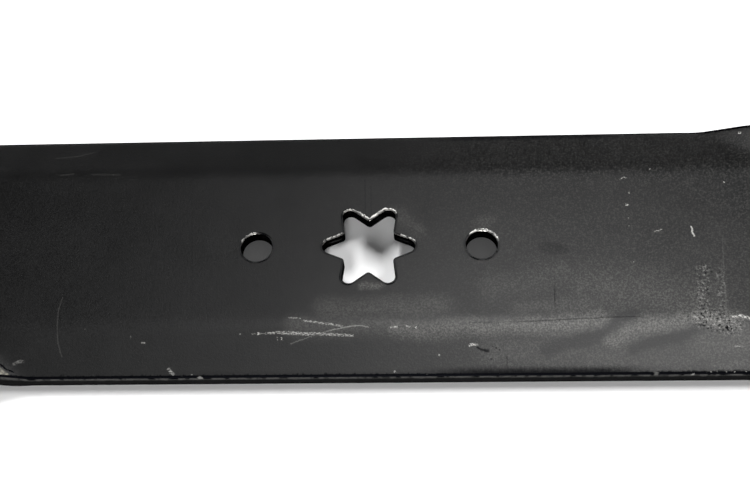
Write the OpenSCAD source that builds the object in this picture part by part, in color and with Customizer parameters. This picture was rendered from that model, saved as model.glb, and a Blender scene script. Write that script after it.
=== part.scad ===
// Rotary mower blade: one pressed steel strip with a six-point star drive hole.
// X runs along the blade, Z is up, and the origin is on the star's axis at floor level.
// The blade is the same after half a turn about Z. It turns clockwise seen from above.

/* [Blank] */
// Length of the blade from tip to tip
blade_length = 456; // [400:1:560]
// Width of the flat blank before it is pressed
blank_width = 78.2; // [72:0.2:90]
// Thickness of the steel
thickness = 4; // [3:0.1:5]
// Radius of the four corners of the blank
tip_radius = 12; // [4:1:16]
// Radius that shearing leaves along the upper edges
rollover = 0.9; // [0.4:0.1:1.2]

/* [Pressed edges] */
// Width between the two lines where the edges turn down
web_width = 48.5; // [46:0.5:54]
// Angle by which the edges turn down
edge_angle = 16; // [8:1:22]
// Bend radius at the middle of the steel
edge_bend_radius = 20; // [10:1:26]

/* [Sails] */
// Distance from the centre to the place where a sail starts
sail_start = 92; // [80:1:110]
// Angle by which a sail stands up from the flat middle at its highest
sail_angle = 30; // [15:1:38]
// Length over which a sail climbs to that angle
sail_rise = 110; // [60:1:120]
// Distance from the centre line to a sail's bend at the tip
sail_root = 14; // [13:0.5:20]
// Length over which a sail's bend sweeps in from the edge
sail_sweep = 24; // [18:1:34]
// Width of the steel taken up by a sail's bend
sail_bend = 9; // [6:0.5:12]

/* [Cutting edges] */
// Distance from the centre to the inner end of a ground edge
grind_start = 118; // [108:1:135]
// Angle of the ground face to the underside
grind_angle = 28; // [24:1:36]
// Height of the blunt land left under the ground face
edge_land = 0.5; // [0.3:0.1:1]
// Radius of the wheel that cuts the ground face
wheel_radius = 26; // [20:1:34]
// How far the wheel runs past the top of the ground face
wheel_clear = 3.5; // [2:0.5:6]

/* [Drive holes] */
// Distance across opposite points of the star
star_span = 26.5; // [23:0.1:28]
// Angle between the two flanks of each point
star_point_angle = 46; // [40:1:60]
// Radius at each point of the star
star_point_radius = 2.1; // [0.8:0.1:2.4]
// Radius at each inner corner of the star
star_root_radius = 1.1; // [0.6:0.1:2]
// Distance between the centres of the two round holes
hole_spacing = 63.5; // [56:0.5:76]
// Diameter of the two round holes
hole_diameter = 9.1; // [7:0.1:11]

/* [Hidden] */

$fn = 96;

paint = [0.13, 0.13, 0.135];
half_length = blade_length / 2;
half_blank = blank_width / 2;
bend_line = web_width / 2;
edge_bend = edge_bend_radius * edge_angle * PI / 180;
// The steel stays flat this far out on each side of the centre line, just inside the sails' bends.
flat_margin = 0.5;
flat_half = sail_root - sail_bend / 2 - flat_margin;

// Steps across each pressed side, along a sail's inner end, along its length and round the corners
side_steps = 18;
sweep_steps = 13;
length_steps = 8;
tip_steps = 5;
rollover_steps = 3;
star_steps = 6;
// Pitch of the sections where a sail sweeps in, and the plain length ahead of them
sweep_pitch = 2.5;
lead_in = 1;
// How far a cut runs past the steel
cut_over = 1;

function smooth(t) = let (u = min(max(t, 0), 1)) u * u * (3 - 2 * u);

// A side is +1 towards +Y and -1 towards -Y. It trails where it has the same sign as x.
function trails(x, side) = x * side > 0;

// Distance from the centre line to the middle of a sail's bend
function sail_line(x) =
    sail_root + (half_blank + sail_bend / 2 - sail_root) * exp((sail_start - abs(x)) / sail_sweep);

// Share of a sail's bend that is complete at distance s from the centre line
function sail_share(s, x, side) =
    trails(x, side) ? smooth((s - sail_line(x)) / sail_bend + 0.5) : 0;

// Angle of a sail at x
function sail_climb(x) = sail_angle * smooth((abs(x) - sail_start) / sail_rise);

// Slope of the steel at distance s from the centre line, positive upwards
function slope(s, x, side) =
    let (down = edge_angle * smooth((s - bend_line) / edge_bend + 0.5), up = sail_share(s, x, side))
    sail_climb(x) * up - down * (1 - up);

// Distance from the centre line to the blank's edge, with round corners at the tips
function reach(x) =
    let (d = max(abs(x) - half_length + tip_radius, 0))
    half_blank - tip_radius + sqrt(max(tip_radius * tip_radius - d * d, 0));

// Middle of the steel on one side: [outward distance, height, slope] at each step
function side_curve(x, side) =
    let (step = (reach(x) - rollover - flat_half) / side_steps)
    [for (k = 0, y = flat_half, z = 0;
          k <= side_steps;
          y = y + step * cos(slope(flat_half + (k + 0.5) * step, x, side)),
          z = z + step * sin(slope(flat_half + (k + 0.5) * step, x, side)),
          k = k + 1)
        [y, z, slope(flat_half + k * step, x, side)]];

// Point beside a place on the middle of the steel, moved along the slope and square to it
function beside(place, along, above) = [
    place[0] + along * cos(place[2]) - above * sin(place[2]),
    place[1] + along * sin(place[2]) + above * cos(place[2])
];

// Upper face of one side from the flat middle outwards, with the rounded edge
function upper_side(curve) =
    let (last = curve[side_steps])
    concat(
        [for (k = [0 : side_steps - 1]) beside(curve[k], 0, thickness / 2)],
        [for (k = [0 : rollover_steps])
            let (turn = 90 * k / rollover_steps)
            beside(last, rollover * sin(turn), thickness / 2 - rollover * (1 - cos(turn)))]
    );

// Lower face of one side from the flat middle outwards, with the square edge
function lower_side(curve) = concat(
    [for (k = [0 : side_steps - 1]) beside(curve[k], 0, -thickness / 2)],
    [beside(curve[side_steps], rollover, -thickness / 2)]
);

function reversed(list) = [for (k = [len(list) - 1 : -1 : 0]) list[k]];

// Closed section of the blade at x, as points in Y and Z
function section(x) =
    let (near = side_curve(x, -1), far = side_curve(x, 1))
    concat(
        [for (p = reversed(upper_side(near))) [-p[0], p[1]]],
        upper_side(far),
        reversed(lower_side(far)),
        [for (p = lower_side(near)) [-p[0], p[1]]]
    );

// Lower corner of a turned-down edge, which stands on the floor
edge_corner = lower_side(side_curve(0, 1))[side_steps];
web_height = -edge_corner[1];

// Places of the sections along the half where x is positive
sweep_end = sail_start + sweep_steps * sweep_pitch;
corner_start = half_length - tip_radius;
half_stations = concat(
    [sail_start - lead_in],
    [for (k = [0 : sweep_steps - 1]) sail_start + k * sweep_pitch],
    [for (k = [0 : length_steps - 1]) sweep_end + (corner_start - sweep_end) * k / length_steps],
    [for (k = [0 : tip_steps]) corner_start + tip_radius * sin(90 * k / tip_steps)]
);
stations = concat([for (x = reversed(half_stations)) -x], half_stations);

// Flat end of the strip, as outlines that each bulge nowhere inwards, in the order of the section's points
uppers = side_steps + rollover_steps + 1;
lowers = side_steps + 1;
function upper_at(side, k) = side > 0 ? uppers + k : uppers - 1 - k;
function lower_at(side, k) = 2 * uppers + lowers + (side > 0 ? -1 - k : k);
end_outlines = concat(
    [[upper_at(-1, 0), upper_at(1, 0), lower_at(1, 0), lower_at(-1, 0)]],
    [for (k = [0 : side_steps - 2])
        [upper_at(1, k), upper_at(1, k + 1), lower_at(1, k + 1), lower_at(1, k)]],
    [for (k = [0 : side_steps - 2])
        [upper_at(-1, k + 1), upper_at(-1, k), lower_at(-1, k), lower_at(-1, k + 1)]],
    [concat(
        [for (k = [side_steps - 1 : uppers - 1]) upper_at(1, k)],
        [lower_at(1, side_steps), lower_at(1, side_steps - 1)])],
    [concat(
        [for (k = [uppers - 1 : -1 : side_steps - 1]) upper_at(-1, k)],
        [lower_at(-1, side_steps - 1), lower_at(-1, side_steps)])]
);

// The pressed steel strip, without its holes and ground edges
module pressed_strip() {
    ring = 2 * (uppers + lowers);
    last = (len(stations) - 1) * ring;
    points = [for (x = stations) for (p = section(x)) [x, p[0], p[1]]];
    sides = [for (start = [0 : ring : last - ring]) for (k = [0 : ring - 1])
        let (a = start + k, b = start + (k + 1) % ring)
        each [[a, b, b + ring], [a, b + ring, a + ring]]];
    first_end = [for (outline = end_outlines) reversed(outline)];
    last_end = [for (outline = end_outlines) [for (k = outline) last + k]];
    polyhedron(points, concat(sides, first_end, last_end));
}

// Corner points of a rounded corner at b between a and c
function rounded(a, b, c, radius, steps) =
    let (
        u = (a - b) / norm(a - b),
        v = (c - b) / norm(c - b),
        half = acos(u * v) / 2,
        centre = b + (u + v) / norm(u + v) * radius / sin(half),
        from = b + u * radius / tan(half) - centre,
        turn = (cross(u, v) > 0 ? -1 : 1) * (180 - 2 * half)
    )
    [for (k = [0 : steps])
        let (t = turn * k / steps)
        centre + [from[0] * cos(t) - from[1] * sin(t), from[0] * sin(t) + from[1] * cos(t)]];

// Six-point star with two points along the blade, first with sharp corners and then rounded
module star_outline() {
    half_point = star_point_angle / 2;
    sharp = star_span / 2 + star_point_radius * (1 / sin(half_point) - 1);
    inner = sharp * sin(half_point) / sin(half_point + 30);
    corners = [for (k = [0 : 11])
        (k % 2 == 0 ? sharp : inner) * [cos(30 * k), sin(30 * k)]];
    polygon([for (k = [0 : 11])
        each rounded(corners[(k + 11) % 12], corners[k], corners[(k + 1) % 12],
            k % 2 == 0 ? star_point_radius : star_root_radius, star_steps)]);
}

module drive_holes() {
    tall = thickness + 2 * cut_over;
    low = web_height - tall / 2;
    translate([0, 0, low])
        linear_extrude(tall)
            star_outline();
    for (side = [-1, 1])
        translate([side * hole_spacing / 2, 0, low])
            cylinder(d = hole_diameter, h = tall);
}

// What the wheel takes off the upper face along the leading edge where x is positive
module ground_edge() {
    wheel_x = grind_start + wheel_radius;
    deep = (thickness - edge_land) / sin(grind_angle) + wheel_clear;
    wheel_y = deep - wheel_radius;
    tall = 3 * thickness;
    translate([0, -edge_corner[0], 0])
        rotate([edge_angle, 0, 0])
            translate([0, 0, edge_land])
                rotate([grind_angle, 0, 0])
                    translate([wheel_x, wheel_y, 0]) {
                        cylinder(r = wheel_radius, h = tall);
                        cube([half_length - wheel_x + cut_over, wheel_radius, tall]);
                    }
}

module mower_blade() {
    color(paint)
        difference() {
            translate([0, 0, web_height])
                pressed_strip();
            drive_holes();
            for (turn = [0, 180])
                rotate([0, 0, turn])
                    ground_edge();
        }
}

mower_blade();
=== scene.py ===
import math

import bpy
from mathutils import Matrix, Vector


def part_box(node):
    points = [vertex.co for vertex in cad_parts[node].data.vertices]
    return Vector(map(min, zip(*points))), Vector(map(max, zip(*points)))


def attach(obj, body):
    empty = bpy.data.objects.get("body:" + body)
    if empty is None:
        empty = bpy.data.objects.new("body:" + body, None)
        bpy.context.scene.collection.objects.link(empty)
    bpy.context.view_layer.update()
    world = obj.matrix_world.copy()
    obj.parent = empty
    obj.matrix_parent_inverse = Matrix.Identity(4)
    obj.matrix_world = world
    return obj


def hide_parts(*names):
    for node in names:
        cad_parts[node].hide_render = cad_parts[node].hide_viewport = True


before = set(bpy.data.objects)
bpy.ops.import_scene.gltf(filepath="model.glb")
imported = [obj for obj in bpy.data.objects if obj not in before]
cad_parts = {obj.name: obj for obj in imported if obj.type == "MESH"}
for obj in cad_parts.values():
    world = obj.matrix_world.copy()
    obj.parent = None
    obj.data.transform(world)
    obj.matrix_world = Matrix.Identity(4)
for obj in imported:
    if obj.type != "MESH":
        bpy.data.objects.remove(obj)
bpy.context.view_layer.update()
lowCorner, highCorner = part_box("mower_blade")
print("frame loaded")


def deselectAll():
    if bpy.context.object and bpy.context.object.mode != "OBJECT":
        bpy.ops.object.mode_set(mode="OBJECT")
    bpy.ops.object.select_all(action="DESELECT")


def makeActive(obj):
    deselectAll()
    obj.select_set(True)
    bpy.context.view_layer.objects.active = obj


def applyModifier(obj, kind, **settings):
    makeActive(obj)
    modifier = obj.modifiers.new(kind.title(), kind)
    for key, value in settings.items():
        setattr(modifier, key, value)
    bpy.ops.object.modifier_apply(modifier=modifier.name)


def smoothStep(t):
    u = min(max(t, 0.0), 1.0)
    return u * u * (3 - 2 * u)


# the pressed strip, in metres and degrees
bladeShape = {
    "halfLength": highCorner.x,
    "halfBlank": 0.0384,
    "offCentre": 0.0004,      # how far the strip's middle lies from its holes
    "thickness": 0.004,
    "tipRadius": 0.012,
    "rollWidth": 0.0014,      # how shearing draws the upper edges down
    "rollDepth": 0.0006,
    "rolledBand": 0.00091,
    "edgeLean": 0.0012,       # how far the sheared face leans out at its foot
    "leanFade": 0.008,        # length over which it ends ahead of a ground edge
    "bendLine": 0.02425,      # where the long edges turn down
    "edgeAngle": 16,
    "edgeBendRadius": 0.020,
    "sailStart": 0.092,
    "sailAngle": 30,
    "sailRise": 0.110,
    "sailRoot": 0.014,
    "sailSweep": 0.024,
    "sailBend": 0.009,
    "flatMargin": 0.0005,
    "cellsAlong": 216,        # cells between the round tips
    "cellsTip": 10,           # cells over each round tip
    "rowPitch": 0.00095,
    "edgeRows": (0, 0.00008, 0.00025, 0.0005, 0.0009, 0.0014, 0.0022),    # closer rows at the edges
    "subSteps": 4,            # steps of the slope between two rows
    "edgeSteps": 200,         # rows that find the lower corner of a long edge
    "smoothAngle": 32,
}


def sailLine(x):
    shape = bladeShape
    swept = shape["halfBlank"] + shape["sailBend"] / 2 - shape["sailRoot"]
    return shape["sailRoot"] + swept * math.exp((shape["sailStart"] - abs(x)) / shape["sailSweep"])


def steelSlope(x, s, side):
    shape = bladeShape
    edgeBend = shape["edgeBendRadius"] * math.radians(shape["edgeAngle"])
    down = shape["edgeAngle"] * smoothStep((s - shape["bendLine"]) / edgeBend + 0.5)
    up = 0.0
    if x * side > 0:    # the trailing side carries the sail
        up = smoothStep((s - sailLine(x)) / shape["sailBend"] + 0.5)
    climb = shape["sailAngle"] * smoothStep((abs(x) - shape["sailStart"]) / shape["sailRise"])
    return math.radians(climb * up - down * (1 - up))


def blankReach(x):
    shape = bladeShape
    d = max(abs(x) - shape["halfLength"] + shape["tipRadius"], 0.0)
    return shape["halfBlank"] - shape["tipRadius"] + math.sqrt(max(shape["tipRadius"] ** 2 - d * d, 0.0))


def columnPlace(share):
    shape = bladeShape
    cells = shape["cellsAlong"] + 2 * shape["cellsTip"]
    straight = shape["halfLength"] - shape["tipRadius"]
    k = abs(share) * cells / 2
    inner = shape["cellsAlong"] / 2
    if k <= inner:
        place = straight * k / inner
    else:
        turn = min((k - inner) / shape["cellsTip"], 1.0)
        place = straight + shape["tipRadius"] * math.sin(turn * math.pi / 2)
    return math.copysign(place, share)


def rowShares():
    shape = bladeShape
    outer = [1 - d / shape["halfBlank"] for d in shape["edgeRows"]]
    cells = round(2 * outer[-1] * shape["halfBlank"] / shape["rowPitch"])
    middle = [outer[-1] * (2 * k / cells - 1) for k in range(1, cells)]
    return [-share for share in outer] + middle + outer[::-1]


def pressColumn(x, shares):
    shape = bladeShape
    flatHalf = shape["sailRoot"] - shape["sailBend"] / 2 - shape["flatMargin"]
    reach = blankReach(x)
    places = [None] * len(shares)
    for side in (1, -1):
        s, y, z = 0.0, 0.0, 0.0
        outward = sorted((abs(share), k) for k, share in enumerate(shares) if share * side >= 0)
        for share, k in outward:
            step = (share * reach - s) / shape["subSteps"]
            for part in range(shape["subSteps"]):
                middle = s + (part + 0.5) * step
                slope = steelSlope(x, middle, side) if middle > flatHalf else 0.0
                y += step * math.cos(slope)
                z += step * math.sin(slope)
            s = share * reach
            places[k] = (side * y, z)
    return places


def edgeDistance(x, s):
    # how far a point of the flat blank lies inside its rounded outline
    shape = bladeShape
    along = abs(x) - shape["halfLength"] + shape["tipRadius"]
    across = abs(s) - shape["halfBlank"] + shape["tipRadius"]
    corner = math.hypot(max(along, 0.0), max(across, 0.0))
    return max(shape["tipRadius"] - corner - min(max(along, across), 0.0), 0.0)


def pressStrip(strip, shares):
    fromEdge = strip.data.attributes.new("fromEdge", "FLOAT", "POINT")
    columns = {}
    for vertex in strip.data.vertices:
        columns.setdefault(round(vertex.co.x, 6), []).append(vertex)
    for columnShare, column in columns.items():
        x = columnPlace(columnShare)
        places = pressColumn(x, shares)
        for vertex in column:
            row = round((vertex.co.y + 1) / 2 * (len(shares) - 1))
            fromEdge.data[vertex.index].value = edgeDistance(x, shares[row] * blankReach(x))
            vertex.co = (x, *places[row])
    strip.data.update()


def rollEdges(strip):
    # shearing draws the upper face down along the outline
    shape = bladeShape
    mesh = strip.data
    half = len(mesh.vertices) // 2
    fromEdge = [item.value for item in mesh.attributes["fromEdge"].data]
    upper = mesh.attributes.new("upper", "FLOAT", "POINT")
    topFirst = mesh.vertices[0].co.z > mesh.vertices[half].co.z
    for k in range(half):
        top, bottom = (k, k + half) if topFirst else (k + half, k)
        upper.data[top].value = 1.0
        near = max(1 - fromEdge[k] / shape["rollWidth"], 0.0)
        drop = shape["rollDepth"] * (1 - math.sqrt(max(1 - near * near, 0.0)))
        down = mesh.vertices[bottom].co - mesh.vertices[top].co
        mesh.vertices[top].co += down.normalized() * drop
        foot = mesh.vertices[bottom].co
        lean = shape["edgeLean"] * max(1 - fromEdge[k] / shape["edgeRows"][-1], 0.0)
        if foot.x * foot.y < 0:    # the leading side
            lean *= smoothStep((grindShape["start"] - abs(foot.x)) / shape["leanFade"])
        else:
            lean *= smoothStep((shape["sailStart"] - abs(foot.x)) / shape["sailSweep"] + 1)
        foot.y += math.copysign(lean, foot.y)
    mesh.update()


def makeStrip(materials):
    shape = bladeShape
    shares = rowShares()
    deselectAll()
    bpy.ops.mesh.primitive_grid_add(
        x_subdivisions=shape["cellsAlong"] + 2 * shape["cellsTip"],
        y_subdivisions=len(shares) - 1, size=2)
    strip = bpy.context.object
    strip.name = "pressed_blade"
    strip.data.name = "pressed_blade"
    for material in materials:
        strip.data.materials.append(material)
    pressStrip(strip, shares)
    applyModifier(strip, "SOLIDIFY", thickness=shape["thickness"], offset=0.0, use_rim=True,
                  material_offset_rim=1)
    rollEdges(strip)
    lowest = min(v.co.z for v in strip.data.vertices)
    strip.location = (0, shape["offCentre"], lowCorner.z - lowest)
    fromEdge = [item.value for item in strip.data.attributes["fromEdge"].data]
    for face in strip.data.polygons:
        if face.material_index == 0 and max(fromEdge[k] for k in face.vertices) < shape["rolledBand"]:
            face.material_index = 2 if face.normal.z > 0 else 0
    makeActive(strip)
    bpy.ops.object.transform_apply(location=True, rotation=True, scale=True)
    print("strip pressed", len(strip.data.polygons), "faces")
    return strip


def cutAway(strip, cutter):
    applyModifier(strip, "BOOLEAN", operation="DIFFERENCE", solver="EXACT", object=cutter,
                  material_mode="TRANSFER")
    makeActive(cutter)
    bpy.ops.object.delete()


# the star, the two round holes and their flared upper rims
holeShape = {
    "starSpan": 0.0265,
    "pointAngle": 46,
    "pointRadius": 0.0021,
    "rootRadius": 0.0011,
    "cornerSteps": 8,
    "holeSpacing": 0.0635,
    "holeDiameter": 0.0091,
    "holeSides": 72,
    "flareWidth": 0.00016,
    "flareDepth": 0.00017,
    "flareFacing": (-0.95, -0.2),    # upward parts of a cutter's normals at the flare
    "cutOver": 0.001,
}


def extrudeOutline(cutter, heights, flareAt, scale):
    makeActive(cutter)
    centre = Vector((cutter.location.x, cutter.location.y, 0))
    bpy.ops.object.mode_set(mode="EDIT")
    bpy.ops.mesh.select_mode(type="FACE")
    bpy.ops.mesh.select_all(action="SELECT")
    for k, rise in enumerate(heights):
        bpy.ops.mesh.extrude_region_move(TRANSFORM_OT_translate={"value": (0, 0, rise)})
        if k == flareAt:
            bpy.ops.transform.resize(value=(scale, scale, 1), center_override=centre)
    bpy.ops.mesh.select_all(action="SELECT")
    bpy.ops.mesh.normals_make_consistent(inside=False)
    bpy.ops.object.mode_set(mode="OBJECT")


def finishCutter(cutter, wallMaterial, rimMaterial):
    cutter.data.materials.append(wallMaterial)
    cutter.data.materials.append(rimMaterial)
    lowest, highest = holeShape["flareFacing"]
    for face in cutter.data.polygons:
        face.material_index = 1 if lowest < face.normal.z < highest else 0
    makeActive(cutter)
    bpy.ops.object.transform_apply(location=True, rotation=True, scale=True)


def starCorners():
    shape = holeShape
    half = math.radians(shape["pointAngle"] / 2)
    sharp = shape["starSpan"] / 2 + shape["pointRadius"] * (1 / math.sin(half) - 1)
    inner = sharp * math.sin(half) / math.sin(half + math.pi / 6)
    return sharp, inner, half


def starOutline():
    shape = holeShape
    sharp, inner, half = starCorners()
    corners = []
    for k in range(12):
        turn = k * math.pi / 6
        corners.append(Vector((math.cos(turn), math.sin(turn))) * (inner if k % 2 else sharp))
    outline = []
    for k, corner in enumerate(corners):
        radius = shape["rootRadius"] if k % 2 else shape["pointRadius"]
        back = (corners[k - 1] - corner).normalized()
        ahead = (corners[(k + 1) % 12] - corner).normalized()
        spread = back.angle(ahead) / 2
        centre = corner + (back + ahead).normalized() * radius / math.sin(spread)
        start = corner + back * radius / math.tan(spread) - centre
        turn = math.copysign(math.pi - 2 * spread, -back.cross(ahead))
        for step in range(shape["cornerSteps"] + 1):
            outline.append(centre + Matrix.Rotation(turn * step / shape["cornerSteps"], 2) @ start)
    return outline


def cutHoles(strip, wallMaterial, rimMaterial):
    shape = holeShape
    top = webTop()
    bottom = top - bladeShape["thickness"]
    low = bottom - shape["cutOver"]
    heights = (top - shape["flareDepth"] - low, shape["flareDepth"], shape["cutOver"])
    outline = starOutline()
    flare = 1 + shape["flareWidth"] / starCorners()[1]
    deselectAll()
    bpy.ops.mesh.primitive_circle_add(vertices=len(outline), fill_type="NGON", location=(0, 0, low))
    star = bpy.context.object
    around = sorted(star.data.vertices, key=lambda v: math.atan2(v.co.y, v.co.x) % (2 * math.pi))
    for vertex, place in zip(around, outline):
        vertex.co = (place.x / flare, place.y / flare, 0)
    extrudeOutline(star, heights, 1, flare)
    finishCutter(star, wallMaterial, rimMaterial)
    cutAway(strip, star)
    radius = shape["holeDiameter"] / 2 - shape["flareWidth"]
    for side in (-1, 1):
        deselectAll()
        bpy.ops.mesh.primitive_circle_add(
            vertices=shape["holeSides"], radius=radius, fill_type="NGON",
            location=(side * shape["holeSpacing"] / 2, 0, low))
        hole = bpy.context.object
        extrudeOutline(hole, heights, 1, 1 + shape["flareWidth"] / radius)
        finishCutter(hole, wallMaterial, rimMaterial)
        cutAway(strip, hole)
    print("holes punched")


def edgeCorner():
    # lower corner of a turned-down edge, measured from the web's middle
    steps = bladeShape["edgeSteps"]
    y, z = pressColumn(0.0, [k / steps for k in range(steps + 1)])[-1]
    slope = math.radians(bladeShape["edgeAngle"])
    half = bladeShape["thickness"] / 2
    return y - half * math.sin(slope), z - half * math.cos(slope)


def webTop():
    return lowCorner.z - edgeCorner()[1] + bladeShape["thickness"] / 2


# the wheel that grinds the two cutting edges
grindShape = {
    "start": 0.118,
    "angle": 28,
    "land": 0.0005,
    "wheelRadius": 0.026,
    "wheelClear": 0.0035,
    "wheelSides": 160,
    "cutOver": 0.001,
}


def grindEdges(strip, groundMaterial):
    shape = grindShape
    lean = math.radians(bladeShape["edgeAngle"])
    tip = math.radians(shape["angle"])
    deep = (bladeShape["thickness"] - shape["land"]) / math.sin(tip) + shape["wheelClear"]
    tall = 3 * bladeShape["thickness"]
    wheelX = shape["start"] + shape["wheelRadius"]
    wheelY = deep - shape["wheelRadius"]
    atEdge = (Matrix.Translation((0, -edgeCorner()[0], lowCorner.z)) @ Matrix.Rotation(lean, 4, "X")
              @ Matrix.Translation((0, 0, shape["land"])) @ Matrix.Rotation(tip, 4, "X"))
    runLength = bladeShape["halfLength"] - wheelX + shape["cutOver"]
    for turn in (0, math.pi):
        place = Matrix.Translation((0, bladeShape["offCentre"], 0)) @ Matrix.Rotation(turn, 4, "Z") @ atEdge
        deselectAll()
        bpy.ops.mesh.primitive_cylinder_add(
            vertices=shape["wheelSides"], radius=shape["wheelRadius"], depth=tall)
        wheel = bpy.context.object
        wheel.matrix_world = place @ Matrix.Translation((wheelX, wheelY, tall / 2))
        deselectAll()
        bpy.ops.mesh.primitive_cube_add(size=1)
        run = bpy.context.object
        middle = (wheelX + runLength / 2, deep - shape["wheelRadius"] / 2, tall / 2)
        run.matrix_world = (place @ Matrix.Translation(middle)
                            @ Matrix.Diagonal((runLength, shape["wheelRadius"], tall, 1)))
        for cutter in (wheel, run):
            makeActive(cutter)
            bpy.ops.object.transform_apply(location=True, rotation=True, scale=True)
            cutter.data.materials.append(groundMaterial)
            cutAway(strip, cutter)
    print("edges ground")


# the photograph's viewing place
viewPoint = {
    "imageWidth": 750,
    "imageHeight": 499,
    "focalPixels": 1244.8,
    "distance": 0.350,
    "elevation": 62.32,
    "azimuth": 6.618,
    "roll": -6.626,
    "target": (0.001792, -0.001130),
    "sensorWidth": 36.0,
    "clipStart": 0.01,
    "passes": 12,             # rounds to find where a ray meets the bent steel
}


def viewMatrix():
    v = viewPoint
    elevation = math.radians(v["elevation"])
    azimuth = math.radians(v["azimuth"])
    roll = math.radians(v["roll"])
    outward = Vector((math.sin(azimuth) * math.cos(elevation),
                      -math.cos(azimuth) * math.cos(elevation), math.sin(elevation)))
    right = (-outward).cross(Vector((0, 0, 1))).normalized()
    upward = right.cross(-outward)
    turnedRight = right * math.cos(roll) + upward * math.sin(roll)
    turnedUp = -right * math.sin(roll) + upward * math.cos(roll)
    place = Matrix((turnedRight, turnedUp, outward)).transposed().to_4x4()
    place.translation = Vector((*v["target"], webTop())) + outward * v["distance"]
    return place


def placeCamera():
    data = bpy.data.cameras.new("photoCamera")
    data.sensor_fit = "HORIZONTAL"
    data.sensor_width = viewPoint["sensorWidth"]
    data.lens = viewPoint["focalPixels"] * viewPoint["sensorWidth"] / viewPoint["imageWidth"]
    data.clip_start = viewPoint["clipStart"]
    camera = bpy.data.objects.new("photoCamera", data)
    bpy.context.scene.collection.objects.link(camera)
    camera.matrix_world = viewMatrix()
    bpy.context.scene.camera = camera


def onBlade(pixel):
    # where a pixel of the photograph falls on the blade's upper face, seen from above
    place = viewMatrix()
    ray = place.to_3x3() @ Vector((pixel[0] - viewPoint["imageWidth"] / 2,
                                   viewPoint["imageHeight"] / 2 - pixel[1], -viewPoint["focalPixels"]))
    top = webTop()
    fall = math.tan(math.radians(bladeShape["edgeAngle"]))
    point = place.translation
    height = top
    for k in range(viewPoint["passes"]):
        point = place.translation + ray * ((height - place.translation.z) / ray.z)
        height = top - max(abs(point.y) - bladeShape["bendLine"], 0.0) * fall
    return Vector((point.x, point.y, 0.0))


def addNode(tree, kind, inputs=None, **settings):
    made = tree.nodes.new(kind)
    for key, value in settings.items():
        setattr(made, key, value)
    for key, value in (inputs or {}).items():
        if isinstance(value, bpy.types.NodeSocket):
            tree.links.new(value, made.inputs[key])
        else:
            made.inputs[key].default_value = value
    return made


def calc(tree, operation, first, second=0.0, third=0.0):
    inputs = {0: first, 1: second, 2: third}
    return addNode(tree, "ShaderNodeMath", inputs, operation=operation).outputs[0]


def vectorCalc(tree, operation, first, second=(0, 0, 0)):
    made = addNode(tree, "ShaderNodeVectorMath", {0: first, 1: second}, operation=operation)
    return made.outputs["Value" if operation in ("LENGTH", "DOT_PRODUCT", "DISTANCE") else "Vector"]


def ease(tree, value, start, end, low=0.0, high=1.0):
    made = addNode(tree, "ShaderNodeMapRange", {"Value": value, "From Min": start, "From Max": end,
                                                "To Min": low, "To Max": high},
                   interpolation_type="SMOOTHSTEP")
    return made.outputs["Result"]


def noise(tree, place, scale, detail, roughness):
    made = addNode(tree, "ShaderNodeTexNoise", {"Vector": place, "Scale": scale, "Detail": detail,
                                                "Roughness": roughness})
    return made.outputs["Fac"]


def stretchedNoise(tree, place, scale, detail, roughness):
    made = addNode(tree, "ShaderNodeMapping", {"Vector": place, "Scale": scale})
    return noise(tree, made.outputs["Vector"], 1.0, detail, roughness)


def times(tree, first, *others):
    for other in others:
        first = calc(tree, "MULTIPLY", first, other)
    return first


def strongest(tree, first, *others):
    for other in others:
        first = calc(tree, "MAXIMUM", first, other)
    return first


def splitAxes(tree, vector):
    return addNode(tree, "ShaderNodeSeparateXYZ", {0: vector}).outputs


def readAttribute(tree, name):
    return addNode(tree, "ShaderNodeAttribute", attribute_name=name).outputs["Fac"]


def eitherSide(tree, value, width):
    # a noise value as a distance to either side of zero
    return calc(tree, "MULTIPLY_ADD", value, width, -width / 2)


def addBump(tree, shader, height, depth):
    bump = addNode(tree, "ShaderNodeBump", {"Height": times(tree, height, depth), "Strength": 1.0,
                                            "Distance": 1.0})
    tree.links.new(bump.outputs["Normal"], shader.inputs["Normal"])


def blendColour(tree, share, first, second):
    # counted from zero, a mix takes colours at sockets 6 and 7 and gives one at output 2
    made = addNode(tree, "ShaderNodeMix", {"Factor": share, 6: first, 7: second}, data_type="RGBA")
    return made.outputs[2]


def blendValue(tree, share, first, second):
    made = addNode(tree, "ShaderNodeMix", {"Factor": share, "A": first, "B": second}, data_type="FLOAT")
    return made.outputs[0]


def newGroup(name, inputs, outputs):
    tree = bpy.data.node_groups.new(name, "ShaderNodeTree")
    for label, kind in inputs:
        tree.interface.new_socket(label, in_out="INPUT", socket_type=kind)
    for label, kind in outputs:
        tree.interface.new_socket(label, in_out="OUTPUT", socket_type=kind)
    return tree, tree.nodes.new("NodeGroupInput").outputs, tree.nodes.new("NodeGroupOutput").inputs


def useGroup(tree, group, inputs):
    return addNode(tree, "ShaderNodeGroup", inputs, node_tree=group).outputs


def newMaterial(name):
    material = bpy.data.materials.new(name)
    material.use_nodes = True
    tree = material.node_tree
    place = tree.nodes.new("ShaderNodeTexCoord").outputs["Object"]
    return material, tree, tree.nodes["Principled BSDF"], place


# share of a mark's half width that shows in full
markCores = {
    "scratch": 0.25,
    "chip": 0.55,
    "rim": 0.7,
    "bare": 0.7,
    "hazeAndSheen": 0.0,
    "rubbed": 0.3,
}


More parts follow.
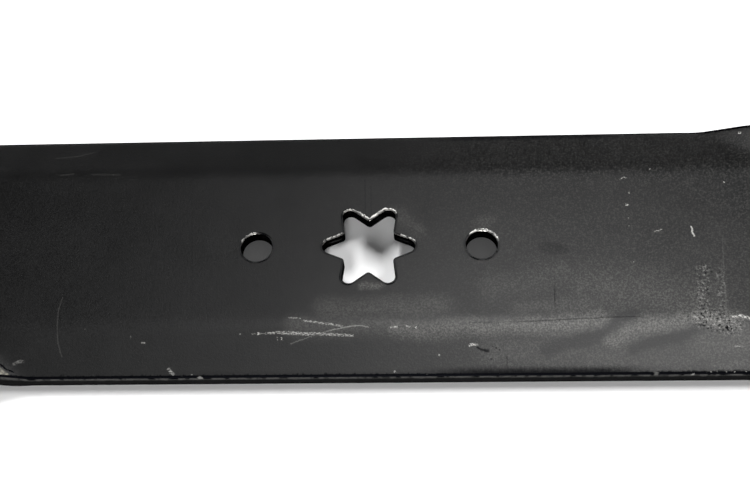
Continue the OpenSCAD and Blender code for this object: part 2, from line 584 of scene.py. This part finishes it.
def scratchGroup():
    tree, given, made = newGroup(
        "scratch", [("Place", "NodeSocketVector"), ("From", "NodeSocketVector"),
                    ("To", "NodeSocketVector"), ("Width", "NodeSocketFloat"), ("Core", "NodeSocketFloat")],
        [("Mask", "NodeSocketFloat")])
    flat = vectorCalc(tree, "MULTIPLY", given["Place"], (1, 1, 0))
    offset = vectorCalc(tree, "SUBTRACT", flat, given["From"])
    run = vectorCalc(tree, "SUBTRACT", given["To"], given["From"])
    share = calc(tree, "DIVIDE", vectorCalc(tree, "DOT_PRODUCT", offset, run),
                 vectorCalc(tree, "DOT_PRODUCT", run, run))
    held = addNode(tree, "ShaderNodeClamp", {"Value": share}).outputs[0]
    along = addNode(tree, "ShaderNodeVectorMath", {0: run, "Scale": held}, operation="SCALE")
    aside = vectorCalc(tree, "DISTANCE", offset, along.outputs["Vector"])
    aside = calc(tree, "DIVIDE", aside, given["Width"])
    tree.links.new(ease(tree, aside, 1.0, given["Core"]), made["Mask"])
    return tree


def chipGroup():
    tree, given, made = newGroup(
        "chip", [("Place", "NodeSocketVector"), ("Centre", "NodeSocketVector"),
                 ("Size", "NodeSocketFloat")], [("Mask", "NodeSocketFloat")])
    flat = vectorCalc(tree, "MULTIPLY", given["Place"], (1, 1, 0))
    away = calc(tree, "DIVIDE", vectorCalc(tree, "DISTANCE", flat, given["Centre"]), given["Size"])
    tree.links.new(ease(tree, away, 1.0, markCores["chip"]), made["Mask"])
    return tree


def rimGroup():
    # distance from the nearest hole's edge, positive on the steel
    shape = holeShape
    tree, given, made = newGroup("holeRim", [("Place", "NodeSocketVector")],
                                 [("Distance", "NodeSocketFloat")])
    axes = splitAxes(tree, given["Place"])
    x, y = axes["X"], axes["Y"]
    sharp, inner, half = starCorners()
    fromCentre = calc(tree, "SQRT", calc(tree, "MULTIPLY_ADD", x, x, calc(tree, "MULTIPLY", y, y)))
    folded = calc(tree, "PINGPONG", calc(tree, "ARCTAN2", y, x), math.pi / 6)
    roundCentre = sharp - shape["pointRadius"] / math.sin(half)
    along = calc(tree, "MULTIPLY_ADD", fromCentre, calc(tree, "COSINE", folded), -roundCentre)
    aside = calc(tree, "MULTIPLY", fromCentre, calc(tree, "SINE", folded))
    past = calc(tree, "MULTIPLY_ADD", along, math.cos(half), times(tree, aside, -math.sin(half)))
    past = calc(tree, "MAXIMUM", past, 0.0)
    off = calc(tree, "MULTIPLY_ADD", along, math.sin(half), times(tree, aside, math.cos(half)))
    nearest = calc(tree, "SQRT", calc(tree, "MULTIPLY_ADD", past, past, calc(tree, "MULTIPLY", off, off)))
    nearest = calc(tree, "SUBTRACT", nearest, shape["pointRadius"])
    sideways = calc(tree, "SUBTRACT", calc(tree, "ABSOLUTE", x), shape["holeSpacing"] / 2)
    square = calc(tree, "MULTIPLY_ADD", sideways, sideways, calc(tree, "MULTIPLY", y, y))
    hole = calc(tree, "SUBTRACT", calc(tree, "SQRT", square), shape["holeDiameter"] / 2)
    tree.links.new(calc(tree, "MINIMUM", nearest, hole), made["Distance"])
    return tree


# the paint's grain; every noise is given by its waves per metre, detail and roughness
grainLook = {
    "fine": (2000, 3, 0.7),
    "cloud": (90, 3, 0.55),
    "peel": (700, 2, 0.5),
    "peelShare": 0.4,
}


def grainGroup():
    look = grainLook
    tree, given, made = newGroup("paintGrain", [("Place", "NodeSocketVector")],
                                 [("Fine", "NodeSocketFloat"), ("Cloud", "NodeSocketFloat"),
                                  ("Height", "NodeSocketFloat")])
    fine = noise(tree, given["Place"], *look["fine"])
    cloud = noise(tree, given["Place"], *look["cloud"])
    peel = noise(tree, given["Place"], *look["peel"])
    tree.links.new(fine, made["Fine"])
    tree.links.new(cloud, made["Cloud"])
    tree.links.new(calc(tree, "MULTIPLY_ADD", peel, look["peelShare"], fine), made["Height"])
    return tree


# bare steel with grinding lines and spots
steelLook = {
    "lines": ((2600, 160, 160), 3, 0.6),
    "lineShare": 0.6,
    "spots": (500, 3, 0.6),
    "toneRange": (0.3, 0.7),
    "darker": (0.30, 0.285, 0.26, 1),
    "lighter": (0.62, 0.60, 0.57, 1),
    "roughness": (0.45, 0.28),
}


def steelGroup():
    look = steelLook
    tree, given, made = newGroup("bareSteel", [("Place", "NodeSocketVector"), ("Turn", "NodeSocketVector")],
                                 [("Colour", "NodeSocketColor"), ("Roughness", "NodeSocketFloat"),
                                  ("Height", "NodeSocketFloat")])
    turned = addNode(tree, "ShaderNodeVectorRotate", {"Vector": given["Place"], "Rotation": given["Turn"]},
                     rotation_type="EULER_XYZ").outputs["Vector"]
    lines = stretchedNoise(tree, turned, *look["lines"])
    spots = noise(tree, given["Place"], *look["spots"])
    tone = calc(tree, "MULTIPLY_ADD", lines, look["lineShare"], times(tree, spots, 1 - look["lineShare"]))
    colour = blendColour(tree, ease(tree, tone, *look["toneRange"]), look["darker"], look["lighter"])
    tree.links.new(colour, made["Colour"])
    tree.links.new(ease(tree, tone, *look["toneRange"], *look["roughness"]), made["Roughness"])
    tree.links.new(lines, made["Height"])
    return tree


# marks in the paint, placed by the photograph's pixels
paintMarks = {
    "bright": [    # (points, half width, strength)
        ([(266, 333.4), (276, 332.6), (302, 333.2), (330, 334.2)], 0.00045, 0.46),
        ([(330, 334.4), (352, 335.4)], 0.0005, 0.42),
        ([(276, 332.4), (308, 334.0)], 0.0006, 0.42),
        ([(252, 333.8), (266, 333.6)], 0.00022, 0.2),
        ([(289, 317.6), (300, 318.2)], 0.00024, 0.35),
        ([(304, 320.4), (315, 322), (328, 323.6), (342, 325.6)], 0.0004, 0.36),
        ([(391, 327), (397, 326.6)], 0.00032, 0.7),
        ([(406, 325.6), (410, 326.6)], 0.00026, 0.6),
        ([(654, 231.5), (662, 229.5)], 0.00022, 0.4),
        ([(620, 180), (623, 177), (627, 178)], 0.0002, 0.4),
        ([(14, 364), (18, 361.8), (23, 361.5)], 0.0006, 0.16),
        ([(168.6, 369.5), (173, 374)], 0.0006, 0.4),
        ([(141.6, 342.9), (145.4, 343.2)], 0.0003, 0.4),
        ([(733, 317.4), (737, 316.4)], 0.00045, 0.8),
        ([(740, 315.6), (745, 316.6), (750, 318.4)], 0.00055, 0.85),
        ([(735, 346.4), (745, 346.2)], 0.00022, 0.3),
        ([(469.6, 345.2), (473, 344.2), (477, 344.8)], 0.0005, 0.8),
        ([(277, 337), (278, 340)], 0.0002, 0.5),
        ([(281, 337), (282.5, 340.5)], 0.0002, 0.5),
    ],
    "fine": [    # thin unbroken scratches
        ([(291, 343.5), (312, 336), (331, 330)], 0.00022, 0.09),
        ([(331, 330), (350, 326), (360, 325.2), (368, 326.8)], 0.00024, 0.17),
        ([(691, 226.6), (692.4, 229), (692, 231.4), (694.4, 236)], 0.00034, 0.5),
        ([(62.5, 298), (58.5, 310), (57, 326), (58, 344), (62, 357)], 0.00017, 0.035),
        ([(56, 159), (80, 156.5), (94, 153)], 0.0003, 0.016),
        ([(61, 175.5), (74, 174)], 0.00035, 0.018),
        ([(92, 174.5), (120, 175)], 0.0005, 0.01),
        ([(722.4, 238), (724, 272)], 0.00026, 0.03),
        ([(725, 284), (727, 318)], 0.0003, 0.045),
    ],
    "edge": [    # chips in the dark band along the near edge
        ([(655.6, 362), (656.4, 374)], 0.0008, 0.16),
        ([(711, 371.4), (712, 369.0)], 0.00028, 0.5),
        ([(717, 370.6), (718, 369.6)], 0.00026, 0.4),
        ([(735, 371.2), (736, 369.6)], 0.00028, 0.5),
        ([(746, 370.8), (747, 369.4)], 0.00028, 0.5),
        ([(726, 371.2), (727, 370.2)], 0.00024, 0.35),
        ([(692, 374.4), (694, 373.5)], 0.0003, 0.4),
        ([(198.6, 377.4), (201.6, 377.8)], 0.00045, 0.35),
    ],
    "bare": [    # rubbed down to the steel at the near edge, on the photograph's left border
        ([(-24, 371), (-6, 373), (3, 379.4)], 0.0022, 0.42),
    ],
    "dark": [
        ([(192, 194), (192.6, 320)], 0.00024, 0.12),
        ([(554.5, 289), (555, 307)], 0.00026, 0.4),
        ([(553.5, 262), (554.5, 289)], 0.00026, 0.16),
        ([(507, 357), (507, 365)], 0.00022, 0.6),
        # painted shade in the crease where the sail begins
        ([(-3, 361), (2, 366), (7, 369.8), (13.4, 372.4)], 0.00034, 1.0),
        ([(477, 347.4), (481, 349.2)], 0.0004, 0.7),
        ([(482, 349.6), (488.4, 351)], 0.0006, 0.7),
        ([(365, 180), (365.5, 214)], 0.00026, 0.18),
        ([(545, 247), (562, 249)], 0.0026, 0.2),
        # painted shade beside the far rim of the -X hole, on its +X side
        ([(264, 234.4), (269.6, 238), (272.6, 244.6), (271.6, 252)], 0.00055, 0.9),
        ([(371, 186), (371, 216)], 0.00024, 0.16),
        ([(520, 321.6), (560, 319.6), (606, 317.2), (640, 316.4)], 0.00026, 0.4),
        ([(466, 322.4), (520, 321.6)], 0.00022, 0.25),
    ],
    "brightSpots": [    # (place, radius, strength)
        ((627, 204.5), 0.0005, 0.9), ((629, 193), 0.0003, 0.5), ((628.5, 218), 0.00025, 0.35),
        ((629, 226), 0.00022, 0.3), ((629, 239.5), 0.00025, 0.35), ((650, 169), 0.0003, 0.5),
        ((724, 182), 0.00025, 0.45), ((738, 137), 0.0005, 0.7), ((634, 262), 0.00025, 0.45),
        ((130.5, 337), 0.0003, 0.2), ((192, 375), 0.0003, 0.3),
        ((258, 333.6), 0.00042, 0.9),
        ((395, 371.6), 0.0004, 0.5), ((439, 355), 0.0003, 0.5), ((85, 329), 0.0003, 0.1),
        ((416, 327.3), 0.00036, 0.9), ((287, 375.8), 0.0003, 0.5), ((240, 334), 0.00028, 0.4),
    ],
    "darkSpots": [
        ((492.4, 346.6), 0.0003, 0.7), ((496, 348.2), 0.00034, 0.7),
        ((499.6, 349.6), 0.0003, 0.7), ((727, 327.3), 0.0006, 1.0),
        ((731.5, 328.8), 0.0004, 0.9), ((708, 328), 0.0004, 0.8), ((711, 272), 0.0005, 0.5),
        ((491, 359), 0.0003, 0.7), ((714, 315), 0.0003, 0.7), ((688, 316), 0.0003, 0.7),
    ],
    "rims": [    # paint broken by the punch with painted highlight, on the far sides of the holes, more widely where stronger
        ([(473, 234.4), (477, 231.6), (483, 230.2), (490, 231.4), (494.6, 234.6), (496.6, 238.6)],
         0.0012, 0.9),
        ([(244, 240.6), (247, 237.2), (251, 235), (255.6, 233.8)], 0.0010, 0.45),
        ([(326.6, 241.8), (334, 238.4), (340.6, 235.4)], 0.0012, 0.7),
        ([(346, 213), (349, 211), (354, 210.8)], 0.0010, 0.4),
        ([(360, 213.6), (365, 217), (369.4, 219), (374, 216.6), (380, 212.4), (384, 210)], 0.0012, 1.2),
        ([(386, 209.6), (391, 209.8), (394, 211.6)], 0.0010, 0.55),
        ([(403.6, 234), (408, 236.8), (412.6, 240)], 0.0011, 0.7),
    ],
}

# soft lighter patches of dust with painted sheen along the near bend, the streaks wiped through them and
# rubbed places, as above
hazeAndSheenMarks = {
    "bright": [
        ([(296, 326), (395, 327)], 0.0050, 0.42),
        ([(326, 309), (440, 307)], 0.0060, 0.42),
        ([(395, 327), (466, 328)], 0.0042, 0.85),
        ([(470, 327), (560, 324), (600, 320)], 0.0044, 1.05),
        ([(612, 338), (640, 328), (696, 318)], 0.0044, 1.1),
        ([(700, 319), (736, 323)], 0.0044, 1.0),
        ([(705, 345), (752, 342)], 0.0080, 0.55),
        ([(590, 356), (700, 354)], 0.0070, 0.3),
        ([(494, 352), (570, 352)], 0.0060, 0.32),
        ([(520, 306), (590, 304)], 0.0036, 0.32),
        ([(712, 366), (754, 364)], 0.0034, 0.5),
        ([(490, 288), (560, 274)], 0.0060, 0.22),
        ([(590, 284), (700, 302)], 0.0110, 0.3),
        ([(400, 215), (420, 232)], 0.0040, 0.25),
        ([(484, 224), (490, 220)], 0.0040, 0.25),
        ([(360, 285), (382, 285)], 0.0018, 0.8),
    ],
    "wiped": [
        ([(546, 350), (590, 335), (634, 318)], 0.0030, 0.5),
        ([(634, 350), (700, 326)], 0.0028, 0.45),
    ],
    "rubbed": [
        ([(703, 268), (704, 318)], 0.0030, 0.7),
        ([(722, 272), (724, 314)], 0.0018, 0.5),
        ([(702, 318), (735, 324)], 0.0040, 1.0),
    ],
}


def layMarks(tree, place, lines, spots=(), kind="scratch"):
    total = None
    for points, width, strength in lines:
        for start, end in zip(points, points[1:]):
            mask = useGroup(tree, scratchNodes, {"Place": place, "From": onBlade(start), "To": onBlade(end),
                                                 "Width": width, "Core": markCores[kind]})["Mask"]
            shown = times(tree, mask, strength)
            total = shown if total is None else strongest(tree, total, shown)
    for centre, radius, strength in spots:
        mask = useGroup(tree, chipNodes, {"Place": place, "Centre": onBlade(centre), "Size": radius})["Mask"]
        total = strongest(tree, total, times(tree, mask, strength))
    return total


def jitter(tree, place, scale, amount):
    wobble = addNode(tree, "ShaderNodeTexNoise", {"Vector": place, "Scale": scale, "Detail": 2.0})
    centred = vectorCalc(tree, "SUBTRACT", wobble.outputs["Color"], (0.5, 0.5, 0.5))
    return vectorCalc(tree, "ADD", place, vectorCalc(tree, "MULTIPLY", centred, (amount, amount, 0)))


# paint that the punch broke along the rims of the holes, with painted highlight on their far sides
rimWearAndPaintedLight = {
    "flakes": (1900, 3, 0.65),
    "flakeWidth": 0.0012,
    "reach": 0.0005,
    "fade": 0.00025,
    "markRange": (0.05, 0.3),
    "specks": (1500, 3, 0.7),
    "speckRange": (0.38, 0.54, 0.12, 1.0),
    "shadedRing": (0.0006, 0.0003),    # painted shade in a ring along the holes' edges
}


def wearRimsWithHighlight(tree, place, rim):
    wear = rimWearAndPaintedLight
    flakes = eitherSide(tree, noise(tree, place, *wear["flakes"]), wear["flakeWidth"])
    ragged = calc(tree, "ADD", flakes, rim)
    torn = layMarks(tree, place, paintMarks["rims"], kind="rim")
    bare = ease(tree, calc(tree, "MULTIPLY_ADD", torn, -wear["reach"], ragged), wear["fade"], 0.0)
    specks = ease(tree, noise(tree, place, *wear["specks"]), *wear["speckRange"])
    return times(tree, bare, ease(tree, torn, *wear["markRange"]), specks)


# dust wiped over the near half towards +X, with painted sheen: lighter towards +X and the near side, and
# along the near bend
dustAndSheenLook = {
    "colour": (0.26, 0.255, 0.24, 1),
    "share": 0.17,
    "base": 0.17,
    "baseAlong": (-0.02, 0.07),
    "baseAcross": (0.02, -0.026),
    "clumps": (0.34, 0.66, 0.2, 1.8),    # range of the grain, and what it makes of the dust
    "thin": 0.55,
    "thinAlong": (-0.03, 0.06),
    "thinLeast": 0.012,
    "thinGrain": (0.46, 0.68),
    "swirls": ((70, 0.004), (500, 0.0016)),    # waves per metre and width of the wiping's waver
}


# dust with painted sheen, lighter towards +X and the near side and in smears along the near bend
def layDustAndSheen(tree, place, swirled, grain):
    look = dustAndSheenLook
    axes = splitAxes(tree, place)
    smears = calc(tree, "SUBTRACT", layMarks(tree, swirled, hazeAndSheenMarks["bright"], kind="hazeAndSheen"),
                  layMarks(tree, swirled, hazeAndSheenMarks["wiped"], kind="hazeAndSheen"))
    region = times(tree, ease(tree, axes["X"], *look["baseAlong"]),
                   ease(tree, axes["Y"], *look["baseAcross"]))
    dustAndSheen = strongest(tree, calc(tree, "MULTIPLY_ADD", region, look["base"], smears), 0.0)
    dustAndSheen = times(tree, dustAndSheen, ease(tree, grain["Fine"], *look["clumps"]))
    settled = ease(tree, axes["X"], *look["thinAlong"])
    settled = calc(tree, "MULTIPLY_ADD", settled, look["thin"], look["thinLeast"])
    dustAndSheen = calc(tree, "MULTIPLY_ADD", settled, ease(tree, grain["Fine"], *look["thinGrain"]), dustAndSheen)
    return times(tree, dustAndSheen, look["share"])


# dark band along the edges: thick paint left by shearing, and painted shade on the rolled edges
edgeShadeLook = {
    "hard": (0.00132, 0.00048),    # distances from the edge where it starts and where it is full
    "soft": (0.0032, 0.00096),
    "softShare": 0.8,
    "softComes": (0.010, 0.032),    # where the soft part comes and goes along +X
    "softGoes": (0.064, 0.078, 0.0, 0.95),
    "fray": ((1100, 500, 1), 4, 0.65),
    "frayWidth": 0.0022,
}


def edgeShadeBand(tree, place):
    look = edgeShadeLook
    x = splitAxes(tree, place)["X"]
    fray = eitherSide(tree, stretchedNoise(tree, place, *look["fray"]), look["frayWidth"])
    frayed = calc(tree, "ADD", fray, readAttribute(tree, "fromEdge"))
    along = calc(tree, "SUBTRACT", ease(tree, x, *look["softComes"]), ease(tree, x, *look["softGoes"]))
    soft = times(tree, ease(tree, frayed, *look["soft"]), along, look["softShare"])
    return strongest(tree, ease(tree, frayed, *look["hard"]), soft)


# the black paint and its wear
paintLook = {
    "darker": (0.0015, 0.0015, 0.0016, 1),
    "lighter": (0.0032, 0.0032, 0.0033, 1),
    "cloudRange": (0.3, 0.7),
    "roughness": (0.3, 0.75, 0.336, 0.525),    # range of the grain, and what it makes of the gloss
    "markRoughness": 0.62,
    "peel": 0.00004,          # height of the grain
    "scratch": (0.66, 0.65, 0.62, 1),
    "rubbedSteel": (0.50, 0.47, 0.38, 1),
    "edgeBlack": (0.0035, 0.0038, 0.005, 1),
    "waver": (2200, 0.0007),    # waves per metre and width of the scratches' waver
    "breaks": ((1500, 3400, 1), 3, 0.65),
    "breakRange": (0.42, 0.58),
    "bareSpots": (700, 3, 0.6),
    "bareRange": (0.3, 0.65, 0.2, 1.0),
    "bareClears": (0.1, 0.0),    # bare steel that shows through the dark band
    "specks": (1300, 3, 0.7),
    "speckRange": (0.5, 0.68, 0.0, 0.3),
    "pitRange": (0.43, 0.36),
}


def makePaint():
    look = paintLook
    material, tree, shader, place = newMaterial("blackPaint")
    grain = useGroup(tree, grainNodes, {"Place": place})
    rim = useGroup(tree, rimNodes, {"Place": place})["Distance"]
    upper = readAttribute(tree, "upper")
    wavering = jitter(tree, place, *look["waver"])
    swirled = place
    for scale, width in dustAndSheenLook["swirls"]:
        swirled = jitter(tree, swirled, scale, width)
    broken = ease(tree, stretchedNoise(tree, place, *look["breaks"]), *look["breakRange"])
    scratches = layMarks(tree, wavering, paintMarks["bright"], paintMarks["brightSpots"])
    scratches = strongest(tree, times(tree, scratches, broken), layMarks(tree, wavering, paintMarks["fine"]))
    rubbed = layMarks(tree, swirled, hazeAndSheenMarks["rubbed"], kind="rubbed")
    specks = noise(tree, place, *look["specks"])
    # broken paint and painted highlight on the far sides of the rims
    bright = strongest(tree, scratches, wearRimsWithHighlight(tree, place, rim),
                       times(tree, rubbed, ease(tree, specks, *look["speckRange"])))
    bright = times(tree, bright, upper)
    # dark marks, with painted shade in the sail's crease and beside the -X hole
    dark = layMarks(tree, wavering, paintMarks["dark"], paintMarks["darkSpots"])
    # the ring along the holes' edges is painted shade
    dark = strongest(tree, dark, times(tree, rubbed, ease(tree, specks, *look["pitRange"])),
                     ease(tree, rim, *rimWearAndPaintedLight["shadedRing"]))
    dark = times(tree, dark, upper)
    bare = ease(tree, noise(tree, place, *look["bareSpots"]), *look["bareRange"])
    bare = times(tree, bare, layMarks(tree, wavering, paintMarks["bare"], kind="bare"), upper)
    # dust and painted sheen on the upper face
    dustAndSheen = times(tree, layDustAndSheen(tree, place, swirled, grain), upper)
    # painted shade and thick paint along the rolled edges
    edgeShade = times(tree, edgeShadeBand(tree, place), upper, ease(tree, bare, *look["bareClears"]))
    cloud = ease(tree, grain["Cloud"], *look["cloudRange"])
    colour = blendColour(tree, cloud, look["darker"], look["lighter"])
    layers = ((dustAndSheen, dustAndSheenLook["colour"]), (edgeShade, look["edgeBlack"]), (bare, look["rubbedSteel"]),
              (dark, look["edgeBlack"]), (bright, look["scratch"]))
    for share, laid in layers:
        colour = blendColour(tree, share, colour, laid)
    tree.links.new(colour, shader.inputs["Base Color"])
    roughness = ease(tree, grain["Fine"], *look["roughness"])
    roughness = blendValue(tree, strongest(tree, edgeShade, dark, bright), roughness, look["markRoughness"])
    tree.links.new(roughness, shader.inputs["Roughness"])
    # metal of a near-black colour takes the shine off the thick paint, the painted shade of the edges and
    # the dark marks
    dull = times(tree, strongest(tree, edgeShade, dark), calc(tree, "SUBTRACT", 1.0, bright))
    tree.links.new(dull, shader.inputs["Metallic"])
    addBump(tree, shader, grain["Height"], look["peel"])
    return material


# the sheared face, burnished under the rolled edge
shearedLook = {
    "black": (0.002, 0.002, 0.0022, 1),
    "shine": 0.06,
    "tears": ((700, 700, 160), 3, 0.6),
    "tearShare": 0.3,
    "burnish": (0.86, 1.1),
    "burnishShare": 0.075,
    "gaps": ((330, 900, 1), 2, 0.5),
    "gapRange": (0.38, 0.55),
    "gapLeast": 0.25,
    "roughness": (0.6, 0.4),
    "depth": 0.00006,
}


def makeEdge():
    look = shearedLook
    material, tree, shader, place = newMaterial("shearedEdge")
    shader.inputs["Specular IOR Level"].default_value = look["shine"]
    grain = useGroup(tree, grainNodes, {"Place": place})
    torn = stretchedNoise(tree, place, *look["tears"])
    burnish = calc(tree, "MULTIPLY_ADD", torn, look["tearShare"], readAttribute(tree, "upper"))
    burnish = ease(tree, burnish, *look["burnish"])
    gaps = stretchedNoise(tree, place, *look["gaps"])
    gaps = ease(tree, gaps, *look["gapRange"], look["gapLeast"], 1.0)
    colour = blendColour(tree, times(tree, burnish, gaps, look["burnishShare"]), look["black"],
                         paintLook["scratch"])
    tree.links.new(colour, shader.inputs["Base Color"])
    tree.links.new(blendValue(tree, burnish, *look["roughness"]), shader.inputs["Roughness"])
    addBump(tree, shader, calc(tree, "ADD", torn, grain["Fine"]), look["depth"])
    return material


# the rolled edge, black, with worn places on the near side
rolledLook = {
    "wornPlace": (0.00026, 0.0001),    # distances from the edge
    "wornShare": 0.1,
    "flecks": ((900, 1600, 1), 3, 0.6),
    "fleckRange": (0.66, 0.74),
    "fleckPlace": (0.0002, 0.0012, 0.0, 0.12),
    "chipWaver": (2200, 0.0009),
    "nearSide": (0.0, -0.01),
    "roughness": (0.0, 0.1, 0.55, 0.4),
    "dull": (0.02, 0.08, 1.0, 0.0),
}


def makeRolled():
    look = rolledLook
    material, tree, shader, place = newMaterial("rolledEdge")
    shader.inputs["Specular IOR Level"].default_value = shearedLook["shine"]
    shader.inputs["Specular Tint"].default_value = (0, 0, 0, 1)
    fromEdge = readAttribute(tree, "fromEdge")
    gaps = stretchedNoise(tree, place, *shearedLook["gaps"])
    gaps = ease(tree, gaps, *shearedLook["gapRange"])
    line = times(tree, ease(tree, fromEdge, *look["wornPlace"]), gaps, look["wornShare"])
    flecks = ease(tree, stretchedNoise(tree, place, *look["flecks"]), *look["fleckRange"])
    flecks = times(tree, flecks, ease(tree, fromEdge, *look["fleckPlace"]))
    chips = layMarks(tree, jitter(tree, place, *look["chipWaver"]), paintMarks["edge"])
    worn = times(tree, strongest(tree, line, flecks, chips),
                 ease(tree, splitAxes(tree, place)["Y"], *look["nearSide"]))
    colour = blendColour(tree, worn, paintLook["edgeBlack"], paintLook["scratch"])
    tree.links.new(colour, shader.inputs["Base Color"])
    tree.links.new(ease(tree, worn, *look["roughness"]), shader.inputs["Roughness"])
    tree.links.new(ease(tree, worn, *look["dull"]), shader.inputs["Metallic"])
    return material


# the punched walls of the holes, with grey streaks of painted highlight
wallLook = {
    "tears": ((1500, 1500, 250), 3, 0.6),
    "tearRange": (0.5, 0.8),
    "darker": (0.002, 0.002, 0.002, 1),
    "lighter": (0.008, 0.008, 0.008, 1),
    "highlightStreaks": ((260, 260, 1500), 2, 0.5),
    "highlightStreakRange": (0.57, 0.72),
    "highlightStreak": (0.06, 0.06, 0.06, 1),
    "roughness": (0.3, 0.8, 0.65, 0.45),
}


def makeWall():
    look = wallLook
    material, tree, shader, place = newMaterial("holeWall")
    shader.inputs["Metallic"].default_value = 1.0
    shader.inputs["Specular Tint"].default_value = (0, 0, 0, 1)
    torn = stretchedNoise(tree, place, *look["tears"])
    colour = blendColour(tree, ease(tree, torn, *look["tearRange"]), look["darker"], look["lighter"])
    # grey streaks of painted highlight
    highlightStreaks = ease(tree, stretchedNoise(tree, place, *look["highlightStreaks"]), *look["highlightStreakRange"])
    tree.links.new(blendColour(tree, highlightStreaks, colour, look["highlightStreak"]), shader.inputs["Base Color"])
    tree.links.new(ease(tree, torn, *look["roughness"]), shader.inputs["Roughness"])
    return material


# the flared rims, bare where they face -Y, and at the -X hole only on its -X side: painted highlight on
# those sides, partly chipped paint
rimLook = {
    "black": (0.006, 0.006, 0.0065, 1),
    "breaks": (1500, 3, 0.6),
    "breakRange": (0.36, 0.52),
    "facing": (-0.02, -0.4),
    "sideFacing": (-0.15, 0.2),
    "firstHole": (-0.022, -0.018),    # the rule for the -X hole ends between these
    "roughness": (0.45, 0.34),
    "depth": 0.00003,
}


def makeRim():
    look = rimLook
    material, tree, shader, place = newMaterial("bareRimAndHighlight")
    shader.inputs["Metallic"].default_value = 1.0
    steel = useGroup(tree, steelNodes, {"Place": place, "Turn": (0, 0, 0)})
    normal = splitAxes(tree, tree.nodes.new("ShaderNodeNewGeometry").outputs["Normal"])
    broken = noise(tree, place, *look["breaks"])
    shown = strongest(tree, ease(tree, normal["X"], *look["sideFacing"]),
                      ease(tree, splitAxes(tree, place)["X"], *look["firstHole"]))
    # bare only where facing -Y: a painted highlight
    bare = times(tree, ease(tree, normal["Y"], *look["facing"]),
                 ease(tree, broken, *look["breakRange"]), shown)
    tree.links.new(blendColour(tree, bare, look["black"], steel["Colour"]), shader.inputs["Base Color"])
    tree.links.new(blendValue(tree, bare, *look["roughness"]), shader.inputs["Roughness"])
    addBump(tree, shader, broken, look["depth"])
    return material


# the ground cutting edges
groundLook = {
    "turn": 8,                # how the grinding lines lie across the edge
    "depth": 0.00002,
}


def makeGround():
    look = groundLook
    material, tree, shader, place = newMaterial("groundSteel")
    shader.inputs["Metallic"].default_value = 1.0
    steel = useGroup(tree, steelNodes, {"Place": place, "Turn": (0, 0, math.radians(look["turn"]))})
    tree.links.new(steel["Colour"], shader.inputs["Base Color"])
    tree.links.new(steel["Roughness"], shader.inputs["Roughness"])
    addBump(tree, shader, steel["Height"], look["depth"])
    return material


scratchNodes = scratchGroup()
chipNodes = chipGroup()
rimNodes = rimGroup()
grainNodes = grainGroup()
steelNodes = steelGroup()
paint = makePaint()
edgePaint = makeEdge()
rolledPaint = makeRolled()
wallPaint = makeWall()
rimSteel = makeRim()
groundSteel = makeGround()
print("materials made")

blade = makeStrip([paint, edgePaint, rolledPaint])
cutHoles(blade, wallPaint, rimSteel)
grindEdges(blade, groundSteel)
makeActive(blade)
bpy.ops.object.shade_smooth_by_angle(angle=math.radians(bladeShape["smoothAngle"]))
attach(blade, "root")
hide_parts("mower_blade")
print("blade", len(blade.data.polygons), "faces", [m.name for m in blade.data.materials])

placeCamera()

# floor, lamps and surround
studio = {
    "floorSize": 12,
    "floorColour": (0.92, 0.92, 0.92, 1),
    "floorRoughness": 0.9,
    "floorGlow": 0.05,        # what camera and mirror rays see added to the floor
    "backdrop": 0.9,          # what camera rays see added far from the blade
    "backdropFrom": 0.35,
    "backdropTo": 1.0,
    "surround": 0.05,
    "lamps": {    # place, size, watts, seen in gloss, lights matt surfaces
        "webCard": ((0.09, 0.26, 1.0), 0.30, 2.25, True, False),
        "stripCard": ((0.32, -0.14, 1.0), 0.55, 3.5, True, False),
        "zenithCard": ((-0.10, -0.35, 1.2), 0.9, 1.0, True, False),
        "nearKey": ((-0.03, -1.08, 0.52), 0.25, 7.8, True, True),
        "farKey": ((-0.31, 0.84, 0.80), 0.34, 14.0, False, True),
        "rightKey": ((0.91, 0.405, 0.67), 0.28, 13.0, False, True),
        "leftKey": ((-1.04, 0.40, 0.455), 0.30, 8.6, False, True),
    },
}


def addLamp(name, place, size, watts, inGloss, onMatt):
    data = bpy.data.lights.new(name, "AREA")
    data.shape = "DISK"
    data.size = size
    data.energy = watts
    lamp = bpy.data.objects.new(name, data)
    bpy.context.scene.collection.objects.link(lamp)
    lamp.location = place
    lamp.rotation_euler = (-Vector(place)).to_track_quat("-Z", "Y").to_euler()
    lamp.visible_glossy = inGloss
    lamp.visible_diffuse = onMatt


def makeFloor():
    deselectAll()
    bpy.ops.mesh.primitive_plane_add(size=studio["floorSize"], location=(0, 0, lowCorner.z))
    floor = bpy.context.object
    floor.name = "floor"
    material, tree, shader, place = newMaterial("paleFloor")
    shader.inputs["Base Color"].default_value = studio["floorColour"]
    shader.inputs["Roughness"].default_value = studio["floorRoughness"]
    shader.inputs["Emission Color"].default_value = (1, 1, 1, 1)
    path = tree.nodes.new("ShaderNodeLightPath").outputs
    seen = strongest(tree, path["Is Camera Ray"], path["Is Glossy Ray"], path["Is Transmission Ray"])
    farOff = ease(tree, vectorCalc(tree, "LENGTH", place), studio["backdropFrom"], studio["backdropTo"],
                  0.0, studio["backdrop"])
    farOff = times(tree, path["Is Camera Ray"], farOff)
    glow = calc(tree, "MULTIPLY_ADD", seen, studio["floorGlow"], farOff)
    tree.links.new(glow, shader.inputs["Emission Strength"])
    floor.data.materials.append(material)


def makeStudio():
    makeFloor()
    for name, lamp in studio["lamps"].items():
        addLamp(name, *lamp)
    world = bpy.data.worlds.new("surround")
    world.use_nodes = True
    tree = world.node_tree
    tree.nodes["Background"].inputs["Color"].default_value = (1, 1, 1, 1)
    onCamera = tree.nodes.new("ShaderNodeLightPath").outputs["Is Camera Ray"]
    level = calc(tree, "MULTIPLY_ADD", onCamera, 1 - studio["surround"], studio["surround"])
    tree.links.new(level, tree.nodes["Background"].inputs["Strength"])
    bpy.context.scene.world = world
    bpy.context.scene.view_settings.view_transform = "Standard"


makeStudio()
print("studio set")
